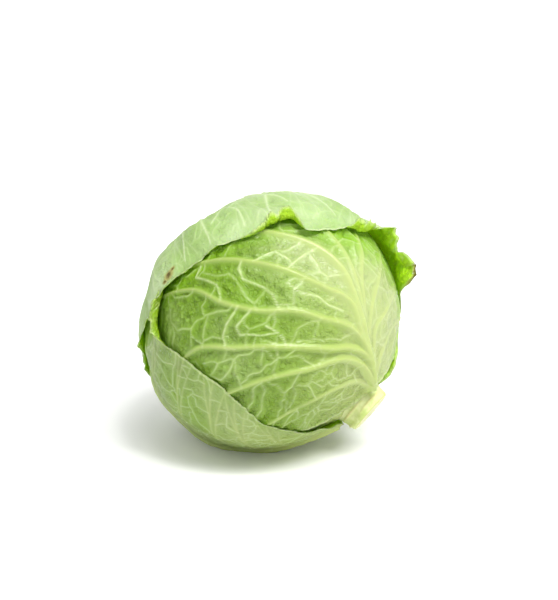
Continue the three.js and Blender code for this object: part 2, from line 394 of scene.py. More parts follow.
# %% [markdown]
# On the other leaves each side vein starts a little higher up the midrib than the one before, aims for
# its own stretch of the margin, and forks once or twice on the way.

# %% Side veins by rule
LOWEST_BEARING, HIGHEST_BEARING = 142, 18  # degrees from the tip at which side veins reach the margin
MARGIN_SHARE = 0.97  # they end a little before it
FORKS = ((0.45, 6.5), (0.7, -5))  # share of the way, and the turn in degrees


def point_at(blade, bearing):
    edge = float(blade.reach(np.array(np.clip(bearing, -3.1, 3.1)))) * MARGIN_SHARE
    return edge * np.array([np.cos(bearing), np.sin(bearing)])


def ruled_veins(blade, seed, pairs=7, width=2.4, height=1.1):
    rng = np.random.default_rng(seed)
    base, tip = -(blade.centre - LEAF_BASE), blade.tip
    length = tip - base
    midrib = ((base, 0), (base + 0.3 * length, 0.5), (base + 0.6 * length, -0.8), (tip * 0.96, 0))
    veins = [Vein(MIDRIB, midrib, (6.0, 0.9), (blade.rib, 0.3))]
    for side in (-1, 1):
        for k in range(pairs):
            share = (k + 0.5 * (side > 0) + 0.4) / pairs
            start = np.array([base + length * (0.04 + 0.62 * share**1.2), 0.0])
            spread = (LOWEST_BEARING - HIGHEST_BEARING) * share
            bearing = side * np.radians(LOWEST_BEARING - spread + rng.uniform(-4, 4))
            end = point_at(blade, bearing)
            chord = end - start
            far = np.linalg.norm(chord)
            bend = start + 0.5 * chord + np.array([0.05, -side * 0.08]) * far
            near = start + 0.18 * chord + np.array([0.1, -side * 0.05]) * far
            taper = 1 - 0.45 * share
            thick, tall = width * taper, height * taper
            veins.append(Vein(MAIN, (start, near, bend, end), (thick, 0.8), (tall, 0.3)))
            root = veins[-1].flat
            for fork, turn in FORKS:
                at = root[int(len(root) * fork)]
                goal = point_at(blade, bearing + side * np.radians(turn + rng.uniform(-1, 1)))
                middle = at + 0.45 * (goal - at) + 0.06 * (root[-1] - at)
                veins.append(Vein(MAIN, (at, middle, goal), (thick * 0.6, 0.7), (tall * 0.6, 0.25)))
    return veins


# %% [markdown]
# A link sets off sideways from a vein, wavers, now and then kinks by a third of a turn and may send a
# branch the other way. It stops as soon as it comes close to any other vein.

# %% Growing the net of links
class LinkNet:
    STEP = 2.2
    MEET = 1.9
    MOST_STEPS = 20
    FEWEST_POINTS = 4

    def __init__(self, blade, veins, seed, spacing):
        self.blade, self.rng, self.spacing = blade, np.random.default_rng(seed), spacing
        self.spots = np.concatenate([v.flat for v in veins]) * DEGREE
        self.owner = np.concatenate([np.full(len(v.flat), k) for k, v in enumerate(veins)])
        self.made = []
        self.next_owner = len(veins)

    def grow_from(self, vein, owner):
        line = vein.flat * DEGREE
        s = self.rng.uniform(0.3, 1.0) * self.spacing
        length = len(line) * VEIN_STEP
        side = 1
        while s < length - 2:
            k = min(int(s / VEIN_STEP), len(line) - 2)
            heading = math.atan2(*(line[k + 1] - line[k])[::-1])
            lean = math.radians(self.rng.uniform(48, 78))
            self._walk(line[k], heading + side * lean, owner, branches=1)
            side = -side
            s += self.spacing * self.rng.uniform(0.55, 1.3) / 2

    def _walk(self, start, heading, parent, branches):
        me = self.next_owner
        self.next_owner += 1
        path, at, side = [start], start.copy(), 1
        for step in range(self.MOST_STEPS):
            heading += self.rng.normal(0, 0.16)
            if step and self.rng.random() < 0.3:
                side = -side
                heading += side * math.radians(self.rng.uniform(25, 55))
                if branches and self.rng.random() < 0.55:
                    self._later.append((at.copy(), heading - side * 1.7, me, branches - 1))
            at = at + self.STEP * np.array([math.cos(heading), math.sin(heading)])
            if not within(self.blade, at / DEGREE):
                break
            path.append(at.copy())
            gaps = np.hypot(*(self.spots - at).T)
            strange = (self.owner != me) & ((self.owner != parent) | (step > 2))
            gaps = np.where(strange, gaps, np.inf)
            if gaps.min() < self.MEET and step > 0:
                path.append(self.spots[int(gaps.argmin())])
                break
        if len(path) > self.FEWEST_POINTS:
            points = np.array(path)
            self.spots = np.vstack([self.spots, points])
            self.owner = np.concatenate([self.owner, np.full(len(points), me)])
            self.made.append(points / DEGREE)

    def grow(self, veins, clear):
        self._later = []
        for owner, vein in enumerate(veins):
            self.grow_from(vein, owner)
        while self._later:
            waiting, self._later = self._later, []
            for start, heading, parent, branches in waiting:
                self._walk(start, heading, parent, branches)
        return [Vein(LINK, points, (1.0, 0.7), (0.5, 0.3), clear) for points in self.made]


# %% [markdown]
# ## How the veins lift the blade
# For each point of a leaf the nearest midrib, side vein and link are looked up. A vein is a rounded
# ridge. The blade between the veins hangs a little lower, the more so the further out on the leaf,
# which is what gives a cabbage leaf its quilted look.

# %% Height of the veins at points of the leaf
QUILT_REACH = 3.4


class VeinMap:
    """How far each point lies from the nearest vein of each rank, and how big that vein is there."""

    def __init__(self, blade, veins, d):
        self.ridge = np.zeros((3, len(d)))
        self.line = np.zeros((3, len(d)))
        self.gap = np.full(len(d), 99.0)
        for rank in (MIDRIB, MAIN, LINK):
            chosen = [v for v in veins if v.rank == rank]
            if chosen:
                self._measure(rank, blade, chosen, d)

    def _measure(self, rank, blade, veins, d):
        flat = np.concatenate([v.flat for v in veins])
        width = np.concatenate([v.width for v in veins])
        height = np.concatenate([v.height for v in veins])
        clear = np.concatenate([np.full(len(v.flat), v.clear) for v in veins])
        tree = KDTree(len(flat))
        for k, point in enumerate(wrapped(blade, flat)):
            tree.insert(point, k)
        tree.balance()
        found = [tree.find(p) for p in d]
        nearest = np.array([f[1] for f in found])
        away = np.array([f[2] for f in found]) * HEAD_RADIUS
        x = away / width[nearest]
        self.ridge[rank] = height[nearest] * np.exp(-((x / 0.55) ** 2))
        self.line[rank] = clear[nearest] * np.exp(-((x / 0.6) ** 2))
        self.gap = np.minimum(self.gap, np.maximum(away - 0.7 * width[nearest], 0))

    def sag(self):
        """0 on a vein, towards 1 well between the veins."""
        return 1 - np.exp(-self.gap / QUILT_REACH)


# %% [markdown]
# ## Making a leaf
# A leaf starts as a flat grid, as a sheet of clay would, and each of its points is then laid on the
# head. The outer face gets a fine grid and the inner face, which hardly shows, a coarse one. The two
# are joined along the margin by bridging their edges, so that the leaf is one closed solid about a
# millimetre thick. A square grid has no pole, so no point of the blade is pinched.

# %% Helpers for modelling
def deselect_all():
    if bpy.context.object and bpy.context.object.mode != "OBJECT":
        bpy.ops.object.mode_set(mode="OBJECT")
    bpy.ops.object.select_all(action="DESELECT")


def new_grid(cells):
    """A flat square grid from -1 to 1, with that many cells each way."""
    deselect_all()
    bpy.ops.mesh.primitive_grid_add(x_subdivisions=cells, y_subdivisions=cells, size=2)
    return bpy.context.object


def points_of(piece):
    flat = np.empty(len(piece.data.vertices) * 3, np.float32)
    piece.data.vertices.foreach_get("co", flat)
    return flat.reshape(-1, 3).astype(float)


def move_points(piece, points):
    piece.data.vertices.foreach_set("co", np.asarray(points, np.float32).ravel())
    piece.data.update()


def square_to_leaf(xy):
    """A place on the square as a share of the way to the margin (0 to 1) and a bearing."""
    x, y = xy[:, 0], xy[:, 1]
    wide = np.abs(x) >= np.abs(y)
    share = np.where(wide, np.abs(x), np.abs(y))
    with np.errstate(divide="ignore", invalid="ignore"):
        quarter = np.where(wide, np.pi / 4 * y / x, np.pi / 2 - np.pi / 4 * x / y)
    quarter = np.nan_to_num(quarter)
    turned = np.where(wide, x < 0, y < 0)
    bearing = quarter + np.pi * turned
    bearing = (bearing + np.pi) % (2 * np.pi) - np.pi
    return share, bearing


def paint(piece, name, values):
    """Stores a number for each point of a piece, for its material to read."""
    layer = piece.data.attributes.new(name, "FLOAT", "POINT")
    layer.data.foreach_set("value", np.asarray(values, np.float32))


def finish_piece(piece, name, nodes, material):
    piece.name = piece.data.name = name
    piece.data.materials.clear()
    piece.data.materials.append(material)
    piece.data.polygons.foreach_set("use_smooth", [True] * len(piece.data.polygons))
    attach(piece, "root")
    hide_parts(*nodes)
    print(name, len(piece.data.polygons), "faces")
    return piece


# %% [markdown]
# ## Margins
# Most of a leaf's margin lies close on the head, a little uneven. In some places it turns outwards,
# rolls right back or ruffles, so that its bright inner side shows. A margin is described as a
# dressmaker would a hem: at each bearing, how far from the blade's middle the turn starts, how wide
# the turned strip is and how far it turns. Between the rows the values run on smoothly.

# %% Shape of the margins
PLAIN_STRIP = 4.0
HEM_FADE = 8.0  # degrees over which a drawn hem passes into a plain one
BEND = 2.8  # radius of the turn at the start of the strip
# Bearing, start of the turn in degrees, width of the strip in millimetres, turn in degrees, and how
# far the leaf already stands off the head where the turn starts.
CAP_HEM = (
    (-4, 97.0, 4, 15, 0), (6, 97.6, 4, 40, 0), (11, 97.2, 4, 25, 0), (17, 97.8, 4, 50, 0),
    (25, 97.2, 4, 30, 0), (31, 97.0, 4, 45, 0), (36, 96.6, 4, 25, 0), (42, 98.6, 3, 60, 0),
    (46, 98.6, 4, 115, 0), (51, 96.8, 7, 150, 0), (56, 95.3, 10, 168, 0.5),
    (60, 94.6, 12.5, 172, 1), (64, 93.0, 11.5, 165, 1), (66, 94.0, 7, 120, 0.5),
    (67.5, 99.6, 3, 30, 0), (70, 98.6, 4, 15, 0), (75, 97.0, 4, 10, 0.3), (82, 95.0, 4, 15, 0.6),
    (87, 93.6, 4, 25, 1), (90, 92.2, 6, 90, 1.2), (92.5, 91.8, 11, 160, 1.4),
    (95, 91.6, 7, 90, 1.2), (98, 89.8, 11, 155, 1.4), (100.5, 88.6, 10, 120, 1.5),
    (103, 85.5, 7, 70, 1.6), (108, 80.5, 6, 48, 2.2), (110.5, 80.0, 10, 50, 5.0),
    (113, 80.4, 13, 54, 7.0), (114.5, 82.0, 12, 50, 7.0), (116.5, 85.3, 7, 38, 4.5),
    (120, 86.0, 6, 48, 3.5), (123, 86.0, 9, 58, 4.0), (125.5, 86.3, 12, 64, 5.0),
    (128, 88.0, 12, 66, 5.5),
    (131.5, 91.3, 9, 52, 3.0), (134, 92.3, 4, 20, 0.8), (137, 90.5, 4, 8, 0.3), (142, 88.0, 4, 8, 0),
    (156, 90.0, 4, 5, 0),
)
LEFT_HEM = (
    (-118, 63.5, 4, 5, 0), (-105, 62.5, 4, 10, 0), (-92, 58.0, 4, 10, 0), (-82, 54.0, 4, 10, 0),
    (-73, 51.0, 4, 25, 0), (-67, 52.0, 7, 100, 0.6), (-62, 56.0, 10, 160, 1.0),
    (-57, 61.0, 8, 120, 0.8),
    (-53, 64.5, 5, 60, 0.4), (-48, 66.5, 4, 25, 0), (-40, 65.5, 4, 10, 0),
)


def softened(rows, column, bearing):
    """A column of the rows at each bearing, with the corners between straight runs rounded off."""
    table = np.array(rows)
    b = np.degrees(bearing)
    taps = ((-1.4, 0.15), (-0.7, 0.22), (0, 0.26), (0.7, 0.22), (1.4, 0.15))
    return sum(w * np.interp(b + shift, table[:, 0], table[:, column]) for shift, w in taps)


class Margin:
    """The turned strip along a leaf's edge."""

    def __init__(self, blade, seed, rows=()):
        self.blade, self.seed, self.rows = blade, seed, rows

    def hem(self, bearing):
        """Start of the turn (degrees), width of the strip (mm), turn (radians) and stand-off (mm)."""
        rim = self.blade.outward(self.blade.reach(bearing), bearing) * HEAD_RADIUS
        wander = 0.5 * hills(rim, 34, self.seed) + 0.25 * hills(rim, 11, self.seed + 1)
        start = self.blade.reach(bearing) - np.degrees(PLAIN_STRIP / HEAD_RADIUS)
        width = np.full(len(bearing), PLAIN_STRIP)
        turn = np.radians(12) * (1 + hills(rim, 18, self.seed + 2))
        stand = 0.3 * (1 + hills(rim, 26, self.seed + 3))
        if self.rows:
            first, last = self.rows[0][0], self.rows[-1][0]
            b = np.degrees(bearing)
            mine = smooth((b - first + HEM_FADE) / HEM_FADE) * smooth((last + HEM_FADE - b) / HEM_FADE)
            start += mine * (softened(self.rows, 1, bearing) - start)
            width += mine * (softened(self.rows, 2, bearing) - width)
            turn += mine * (np.radians(softened(self.rows, 3, bearing)) - turn)
            stand += mine * softened(self.rows, 4, bearing)
            wander = wander * (1 - 0.6 * mine)
        lively = 1 + 0.9 * smooth((width - 6) / 4)
        scallops = 0.10 * hills(rim, 5.5, self.seed + 4) + 0.06 * hills(rim, 2.6, self.seed + 5)
        width = width * (1 + lively * scallops)
        return start + wander, width, np.maximum(turn, 0.02), stand


# %% [markdown]
# ## Laying a leaf on the head
# The inner face lies on the layers beneath. The blade's hills, its quilting and the stand-off of its
# margin move both faces together, and the veins swell only the outer face. Where another leaf covers
# this one, its relief fades, because there the leaves press each other smooth.

# %% What sets one leaf apart
ONE_TONE = 0.6  # how deep green a blade of one tone is
TONE_START, TONE_WIDTH = -14.0, 46.0  # degrees aside, where the front leaf goes from pale to green
TONE_WANDER, TONE_BAYS = 7.0, 40.0  # degrees that the border wanders, and the size of its bays in mm
# Degrees from the cap leaf's middle, bearing, and radius in millimetres.
SORE_SPOTS = ((94.5, 9.0, 3.4), (92.6, 11.5, 1.8), (96.2, 6.5, 1.6))
TORN_BEARING, TORN_WIDTH, TORN_DEPTH = 129.5, 3.2, 2.6


class LeafLook:
    """What sets a leaf apart: its fineness, quilting, crinkles, margin, veins and marks."""

    def __init__(self, cells, quilt, crinkle, margin, veins, link_spacing, seed, rise=14.0, frill=0.4,
                 puff=0.0, link_clear=0.6, two_toned=False, blemished=False):
        self.cells, self.quilt, self.crinkle, self.puff = cells, quilt, crinkle, puff
        self.margin, self.rise, self.frill, self.seed = margin, rise, frill, seed
        self.veins, self.link_spacing, self.link_clear = veins, link_spacing, link_clear
        self.two_toned, self.blemished = two_toned, blemished

    def deep(self, flat):
        """How green the blade is: on a two-toned leaf it goes from pale to deep green sideways."""
        if not self.two_toned:
            return np.full(len(flat), ONE_TONE)
        spots = np.column_stack([flat * DEGREE, np.zeros(len(flat))])
        wander = TONE_WANDER * hills(spots, TONE_BAYS, self.seed + 21)
        return smooth((flat[:, 1] + wander - TONE_START) / TONE_WIDTH)

    def dead(self, away, bearing, inside):
        """1 where the leaf has browned: a few sore spots, and the torn rim of the loose flap."""
        brown = np.zeros(len(away))
        if self.blemished:
            for far, turn, radius in SORE_SPOTS:
                across = (np.degrees(bearing) - turn) * DEGREE * np.sin(np.radians(away))
                off = np.hypot((away - far) * DEGREE, across)
                brown = np.maximum(brown, np.exp(-((off / radius) ** 2)))
            torn = np.exp(-(((np.degrees(bearing) - TORN_BEARING) / TORN_WIDTH) ** 2))
            brown = np.maximum(brown, torn * (1 - smooth(inside / TORN_DEPTH)))
        return brown


# %% [markdown]
# A leaf is calmer where another lies on it. Just out from under the outermost leaf, which is the
# loosest, the blade is painted a fresher, deeper green as that leaf's shadow, and this painted shadow
# reaches furthest below that leaf's flap.

# %% Covered and bare parts, and the painted shadow of the cap leaf
FADE_UNDER = 9.0
# Painted shadow of the cap leaf: how far it reaches out from under that leaf's margin (mm), how much
# further below its flap, and the bearing and width in degrees of that stretch.
CAP_SHADOW_REACH = 13.0
FLAP_SHADOW_REACH, FLAP_BEARING, FLAP_WIDTH = 22.0, 88.0, 22.0


def bare(index, d):
    """1 where nothing lies over the leaf, 0 well under another leaf."""
    shown = np.ones(len(d))
    for blade in BLADES[index + 1:]:
        shown = shown * (1 - smooth(blade.inside_margin(d) / FADE_UNDER))
    return shown


def painted_cap_shadow(d):
    """Painted shadow: 1 beneath the loosest, outermost leaf, fading to 0 a little way out from under
    its margin.
    """
    bearing = np.degrees(BLADES[CAP].place(d)[1])
    below_flap = np.exp(-(((bearing - FLAP_BEARING) / FLAP_WIDTH) ** 2))
    reach = CAP_SHADOW_REACH + FLAP_SHADOW_REACH * below_flap
    return smooth((BLADES[CAP].inside_margin(d) + reach) / reach) * (0.7 + 0.3 * below_flap)


# %% [markdown]
# Turning a margin bends the strip round a small radius and then carries on straight, as a folded
# sheet does. Where the leaf stands loose it also ruffles.

# %% Turning the margin
RUFFLE_SIZE, SMALL_RUFFLE_SIZE = 11, 5
LOOSE_STAND, LOOSE_STRIP = 3.0, 14.0  # millimetres of stand-off and of strip that ruffle fully


class TurnedSheet:
    """Where the points of a leaf come to lie once its margin is turned."""

    def __init__(self, blade, look, share, bearing):
        start, width, turn, stand = look.margin.hem(bearing)
        start_mm = np.radians(start) * HEAD_RADIUS
        along = (start_mm + width) * share
        past = along - start_mm
        bend = np.minimum(BEND, width / turn)
        angle = np.minimum(np.maximum(past, 0) / bend, turn)
        straight = np.maximum(past - bend * turn, 0)
        folded = np.where(past > 0, start_mm + bend * np.sin(angle) + straight * np.cos(turn), along)
        risen = np.clip(1 + past / look.rise, 0, 1)
        self.turn, self.angle = turn, angle
        self.inside = start_mm + width - along
        self.flat_d = blade.outward(np.degrees(along / HEAD_RADIUS), bearing)
        self.away = np.degrees(folded / HEAD_RADIUS)
        self.d = blade.outward(self.away, bearing)
        self.lift = stand * risen**2 + bend * (1 - np.cos(angle)) + straight * np.sin(turn)
        rim = blade.outward(start, bearing) * HEAD_RADIUS
        ruffle = look.frill * hills(rim, RUFFLE_SIZE, look.seed + 9)
        ruffle = ruffle + 0.6 * look.frill * hills(rim, SMALL_RUFFLE_SIZE, look.seed + 10)
        loose = np.clip(stand / LOOSE_STAND, 0.15, 1) * risen * 0.45 + straight / LOOSE_STRIP
        ruffle = ruffle * np.clip(loose, 0, 1.2) * smooth(turn / 0.6)
        self.frill = np.maximum(ruffle, -0.6 - 0.7 * self.lift)  # it can't dip into the leaf beneath


# %% [markdown]
# The blade is smooth near the leaf's base and roughens outwards. Slow swells, the sag between veins,
# sharp creases and two sizes of wrinkle add up. A soft floor stops the sum before it would touch the
# leaf beneath.

# %% Relief of the blade
SWELL_SIZE, SWELL_HEIGHT = 42, 0.8
CREASE_SIZE, WRINKLE_SIZE, SMALL_WRINKLE_SIZE = 8.5, 8, 4.2
SMOOTH_BASE, ROUGHENING = 45, 85  # millimetres from the leaf's base
DEEPEST = -1.4
FLOOR_SHARPNESS = 3.0


def relief_of(look, sheet, sag, shown, from_base):
    """Height of the bare blade over its resting place, in millimetres."""
    spots = sheet.flat_d * HEAD_RADIUS
    rough = (0.2 + 0.8 * smooth((from_base - SMOOTH_BASE) / ROUGHENING)) * (0.25 + 0.75 * shown)
    rough = rough * smooth(sheet.inside / 3) * sag
    creases = np.clip(1 - 1.8 * np.abs(hills(spots, CREASE_SIZE, look.seed + 2)), 0, 1) ** 3
    wrinkles = 0.5 * hills(spots, WRINKLE_SIZE, look.seed) - 0.4 * creases
    wrinkles = wrinkles + 0.28 * hills(spots, SMALL_WRINKLE_SIZE, look.seed + 1)
    swell = SWELL_HEIGHT * hills(spots, SWELL_SIZE, look.seed + 3)
    relief = (swell + look.puff) * shown + (look.crinkle * wrinkles - look.quilt) * rough
    return DEEPEST + np.logaddexp(0, FLOOR_SHARPNESS * (relief - DEEPEST)) / FLOOR_SHARPNESS


def ridges_of(veinmap, shown, inside):
    """Height of the veins over the blade; a side vein merges with the midrib without a step."""
    midrib, mains = veinmap.ridge[MIDRIB], veinmap.ridge[MAIN] * (0.4 + 0.6 * shown)
    ridge = np.maximum(midrib, mains) + 0.35 * np.minimum(midrib, mains)
    return np.maximum(ridge, veinmap.ridge[LINK] * (0.3 + 0.7 * shown)) * smooth(inside / 4)


# %% [markdown]
# With its margin turned and its relief known, both faces of a leaf can be laid in place. The same step
# works out the painted numbers that tell the finish what each point of the leaf is.

# %% Both faces of a leaf
BACK_SLACK = 0.3  # the coarser inner face keeps this much clear of the creases of the outer one
INNER_FLOOR = 0.35  # height of the lowest inner point over the table
PALE_BASE, GREENING = 10, 130  # millimetres from the leaf's base


def lay_leaf(index, look, veins, share, bearing):
    """Points of the outer and inner face (metres) and what the material needs to know of them."""
    blade = BLADES[index]
    sheet = TurnedSheet(blade, look, share, bearing)
    d, inside = sheet.d, sheet.inside
    veinmap = VeinMap(blade, veins, sheet.flat_d)
    shown = bare(index, d)
    flat = spread_flat(blade, sheet.flat_d)
    from_base = DEGREE * np.linalg.norm(flat - (-(blade.centre - LEAF_BASE), 0), axis=1)
    relief = relief_of(look, sheet, veinmap.sag(), shown, from_base)
    radius = inner_radius(index, d) - pressed_in(d) + sheet.lift + relief
    edgeward = blade.edgeward(sheet.away, bearing)
    n = d * np.cos(sheet.angle)[:, None] - edgeward * np.sin(sheet.angle)[:, None]
    thickness = BLADE_THICKNESS * (0.45 + 0.55 * smooth(inside / 5))
    inner = MIDDLE + d * radius[:, None] + n * sheet.frill[:, None]
    outer = inner + n * (thickness + ridges_of(veinmap, shown, inside))[:, None]
    inner = inner - n * (BACK_SLACK * smooth(inside / 8))[:, None]
    outer[:, 2] = np.maximum(outer[:, 2], 0.0)
    inner[:, 2] = np.maximum(inner[:, 2], INNER_FLOOR)
    facts = {
        "vein": np.maximum(veinmap.line[MIDRIB], veinmap.line[MAIN]),
        "link": veinmap.line[LINK] * (0.5 + 0.5 * shown),
        "pit": veinmap.sag(),
        "base": 1 - smooth((from_base - PALE_BASE) / GREENING),
        "rim": 1 - smooth(inside / 2.2),
        # painted shadow of the cap leaf on the leaves beneath it
        "painted_cap_shadow": np.zeros(len(d)) if index == CAP else painted_cap_shadow(sheet.flat_d),
        "deep": look.deep(flat),
        "dead": look.dead(sheet.away, bearing, inside),
        # where the margin rolls right back, for the painted shade on its inner side
        "rolled_margin_shade": smooth((sheet.turn - 1.7) / 0.6),
    }
    return outer * MM, inner * MM, facts


# %% [markdown]
# The outer and the inner face are made as two sheets and closed along the margin. Each half of the
# leaf's flat map keeps one face, so that its finish can be baked without overlaps.

# %% One leaf
BACK_SHARE = (2, 5)  # the inner face has two cells for five of the outer one
MAP_EDGE = 0.01


def lay_out_map(sheet, flat, side):
    """The flat map of a face: the square that it was made from, in its half of the map."""
    for layer in list(sheet.data.uv_layers):
        sheet.data.uv_layers.remove(layer)
    layer = sheet.data.uv_layers.new(name="OFBake")
    corners = np.empty(len(sheet.data.loops), np.int32)
    sheet.data.loops.foreach_get("vertex_index", corners)
    along, up = ((flat[:, :2] + 1) / 2 * (1 - 2 * MAP_EDGE) + MAP_EDGE).T
    uv = np.stack([(along + side) / 2, up], -1)
    layer.data.foreach_set("uv", uv[corners].astype(np.float32).ravel())


def close_leaf(face, back):
    """Turns the inner face round, joins it to the outer one and bridges their edges."""
    deselect_all()
    back.select_set(True)
    bpy.context.view_layer.objects.active = back
    bpy.ops.object.mode_set(mode="EDIT")
    bpy.ops.mesh.select_all(action="SELECT")
    bpy.ops.mesh.flip_normals()
    bpy.ops.object.mode_set(mode="OBJECT")
    face.select_set(True)
    bpy.context.view_layer.objects.active = face
    bpy.ops.object.join()
    bpy.ops.object.mode_set(mode="EDIT")
    bpy.ops.mesh.select_mode(type="EDGE")
    bpy.ops.mesh.select_all(action="DESELECT")
    bpy.ops.mesh.select_non_manifold(extend=False, use_wire=False, use_multi_face=False,
                                     use_non_contiguous=False, use_verts=False)
    bpy.ops.mesh.bridge_edge_loops()
    bpy.ops.object.mode_set(mode="OBJECT")


def make_leaf(index, look, material):
    blade = BLADES[index]
    net = LinkNet(blade, look.veins, look.seed + 7, look.link_spacing)
    veins = look.veins + net.grow([v for v in look.veins if v.rank != LINK], look.link_clear)
    face = new_grid(look.cells)
    back = new_grid(look.cells * BACK_SHARE[0] // BACK_SHARE[1])
    for sheet, side in ((face, 0), (back, 1)):
        flat = points_of(sheet)
        share, bearing = square_to_leaf(flat[:, :2])
        outer, inner, facts = lay_leaf(index, look, veins, share, bearing)
        move_points(sheet, inner if side else outer)
        facts["inner"] = np.full(len(flat), float(side))
        for name, values in facts.items():
            paint(sheet, name, values)
        lay_out_map(sheet, flat, side)
    close_leaf(face, back)
    return finish_piece(face, blade.node + "_blade", [blade.node], material)


# %% [markdown]
# ## Finishes
# A cabbage leaf has a waxy skin over pale flesh. Its veins are nearly white, the blade between them
# goes from pale to fresh green, and light that falls on a single leaf comes out yellow-green on the
# other side. The colours could be painted on, but the painted numbers of each leaf (how near a vein,
# how deep between veins, how near the rim) already say where each colour belongs, so one recipe mixes
# them for every leaf and adds the fine wrinkles of the skin as a bump.

# %% Materials
class Amount:
    """A number on its way through a material, so that shader maths reads as plain sums."""

    def __init__(self, skin, socket):
        self.skin, self.socket = skin, socket

    def _sum(self, operation, *terms):
        return self.skin.node("ShaderNodeMath", {"operation": operation}, dict(enumerate(terms)))

    def __add__(self, other): return self._sum("ADD", self, other)
    def __radd__(self, other): return self._sum("ADD", other, self)
    def __sub__(self, other): return self._sum("SUBTRACT", self, other)
    def __rsub__(self, other): return self._sum("SUBTRACT", other, self)
    def __mul__(self, other): return self._sum("MULTIPLY", self, other)
    def __rmul__(self, other): return self._sum("MULTIPLY", other, self)
    def larger(self, other): return self._sum("MAXIMUM", self, other)

    def between(self, low, high):
        """0 below low, 1 above high, and a smooth rise from one to the other."""
        settings = {"interpolation_type": "SMOOTHSTEP"}
        sockets = {0: self, 1: low, 2: high, 3: 0.0, 4: 1.0}
        return self.skin.node("ShaderNodeMapRange", settings, sockets)


class Skin:
    """A material being built: one call adds any node with its settings, then its sockets."""

    def __init__(self, name):
        self.material = bpy.data.materials.new(name)
        self.material.use_nodes = True
        self.tree = self.material.node_tree
        self.surface = self.tree.nodes["Principled BSDF"]

    def node(self, kind, settings, sockets, out=0):
        made = self.tree.nodes.new(kind)
        for key, value in settings.items():
            setattr(made, key, value)
        for key, value in sockets.items():
            self.plug(made.inputs[key], value)
        return Amount(self, made.outputs[out])

    def plug(self, socket, value):
        if isinstance(value, Amount):
            self.tree.links.new(value.socket, socket)
        else:
            socket.default_value = value

    def mix(self, amount, first, second):
        colours = [(*c, 1) if isinstance(c, tuple) else c for c in (first, second)]
        sockets = {0: amount, 6: colours[0], 7: colours[1]}
        return self.node("ShaderNodeMix", {"data_type": "RGBA", "clamp_factor": True}, sockets, 2)

    def painted(self, name):
        return self.node("ShaderNodeAttribute", {"attribute_name": name}, {}, "Fac")

    def noise(self, scale, detail=3.0, rough=0.55, twist=0.0):
        where = self.node("ShaderNodeTexCoord", {}, {}, "Object")
        return self.node("ShaderNodeTexNoise", {}, {"Vector": where, "Scale": scale, "Detail": detail,
                                                    "Roughness": rough, "Distortion": twist})

    def let_light_through(self, colour, share):
        """Part of the light goes through a leaf and comes out yellow-green on the other side."""
        glow = self.tree.nodes.new("ShaderNodeBsdfTranslucent")
        glow.inputs["Color"].default_value = colour
        both = self.tree.nodes.new("ShaderNodeMixShader")
        both.inputs[0].default_value = share
        self.tree.links.new(self.surface.outputs[0], both.inputs[1])
        self.tree.links.new(glow.outputs[0], both.inputs[2])
        self.tree.links.new(both.outputs[0], self.tree.nodes["Material Output"].inputs["Surface"])

    def finish(self, colour, roughness, height, bump, **constants):
        sockets = {"Height": height, "Distance": bump, "Strength": 1.0}
        relief = self.node("ShaderNodeBump", {}, sockets, "Normal")
        self.plug(self.surface.inputs["Base Color"], colour)
        self.plug(self.surface.inputs["Roughness"], roughness)
        self.plug(self.surface.inputs["Normal"], relief)
        for name, value in constants.items():
            self.surface.inputs[name.replace("_", " ")].default_value = value
        return self.material


def srgb(red, green, blue):
    """A colour as it looks on a screen, from 0 to 255, in the linear values that a shader takes."""
    shades = [c / 255 for c in (red, green, blue)]
    return tuple(c / 12.92 if c <= 0.04045 else ((c + 0.055) / 1.055) ** 2.4 for c in shades)


# Waves per metre of the patches, mottling, blisters, wrinkles, cells and grain of a leaf's skin.
PATCHES, MOTTLING, BLISTERS, WRINKLES, SKIN_CELLS, GRAIN = 14, 160, 190, 420, 330, 1300
# Colour of the painted shadow of the cap leaf on the leaves beneath it.
CAP_SHADOW_GREEN = srgb(140, 190, 24)
SORE_YELLOW, DEAD_BROWN = srgb(170, 150, 70), srgb(96, 62, 30)
LIGHT_THROUGH, SHARE_THROUGH = (0.60, 0.84, 0.05, 1), 0.3
# Painted shade in the creases and rolled-back curls of a leaf's inner side.
INNER_CREASE_SHADE = 0.6  # how bright the creases of a leaf's inner side are beside the rest of it


def leaf_colour(s, pale, green, vein, link, under, mottle, bubble):
    """The blade from pale to green, then painted shadow, inner side with painted shade, veins, rim and
    browned spots over it.
    """
    patches = s.noise(PATCHES, 3).between(0.35, 0.68)
    tone = (patches * 0.6 + s.painted("deep") * 0.9 - 0.25).larger(0.0)
    colour = s.mix(tone, pale, green)
    colour = s.mix(s.painted("pit") * 0.4 * mottle.between(0.42, 0.62), colour, green)
    colour = s.mix(s.painted("base") * 0.7, colour, vein)
    # painted shadow of the cap leaf, a saturated green, on the leaves beneath it
    colour = s.mix(s.painted("painted_cap_shadow") * 0.9, colour, CAP_SHADOW_GREEN)
    # painted shade on the inner side: in the creases between its blisters, and where the margin rolls
    # right back
    crease_and_curl_shade = (bubble.between(0.42, 0.6) * 0.8).larger(s.painted("rolled_margin_shade") * 0.75)
    shaded_under = tuple(INNER_CREASE_SHADE * c for c in under)
    colour = s.mix(s.painted("inner"), colour, s.mix(crease_and_curl_shade, under, shaded_under))
    colour = s.mix(s.painted("link") * 0.72, colour, link)
    colour = s.mix(s.painted("vein") * 0.62, colour, vein)
    colour = s.mix(s.painted("rim") * 0.6, colour, link)
    dead = s.painted("dead")
    colour = s.mix(dead.between(0.1, 0.5) * 0.7, colour, SORE_YELLOW)
    return s.mix((dead * mottle * 2).between(0.5, 0.9), colour, DEAD_BROWN)


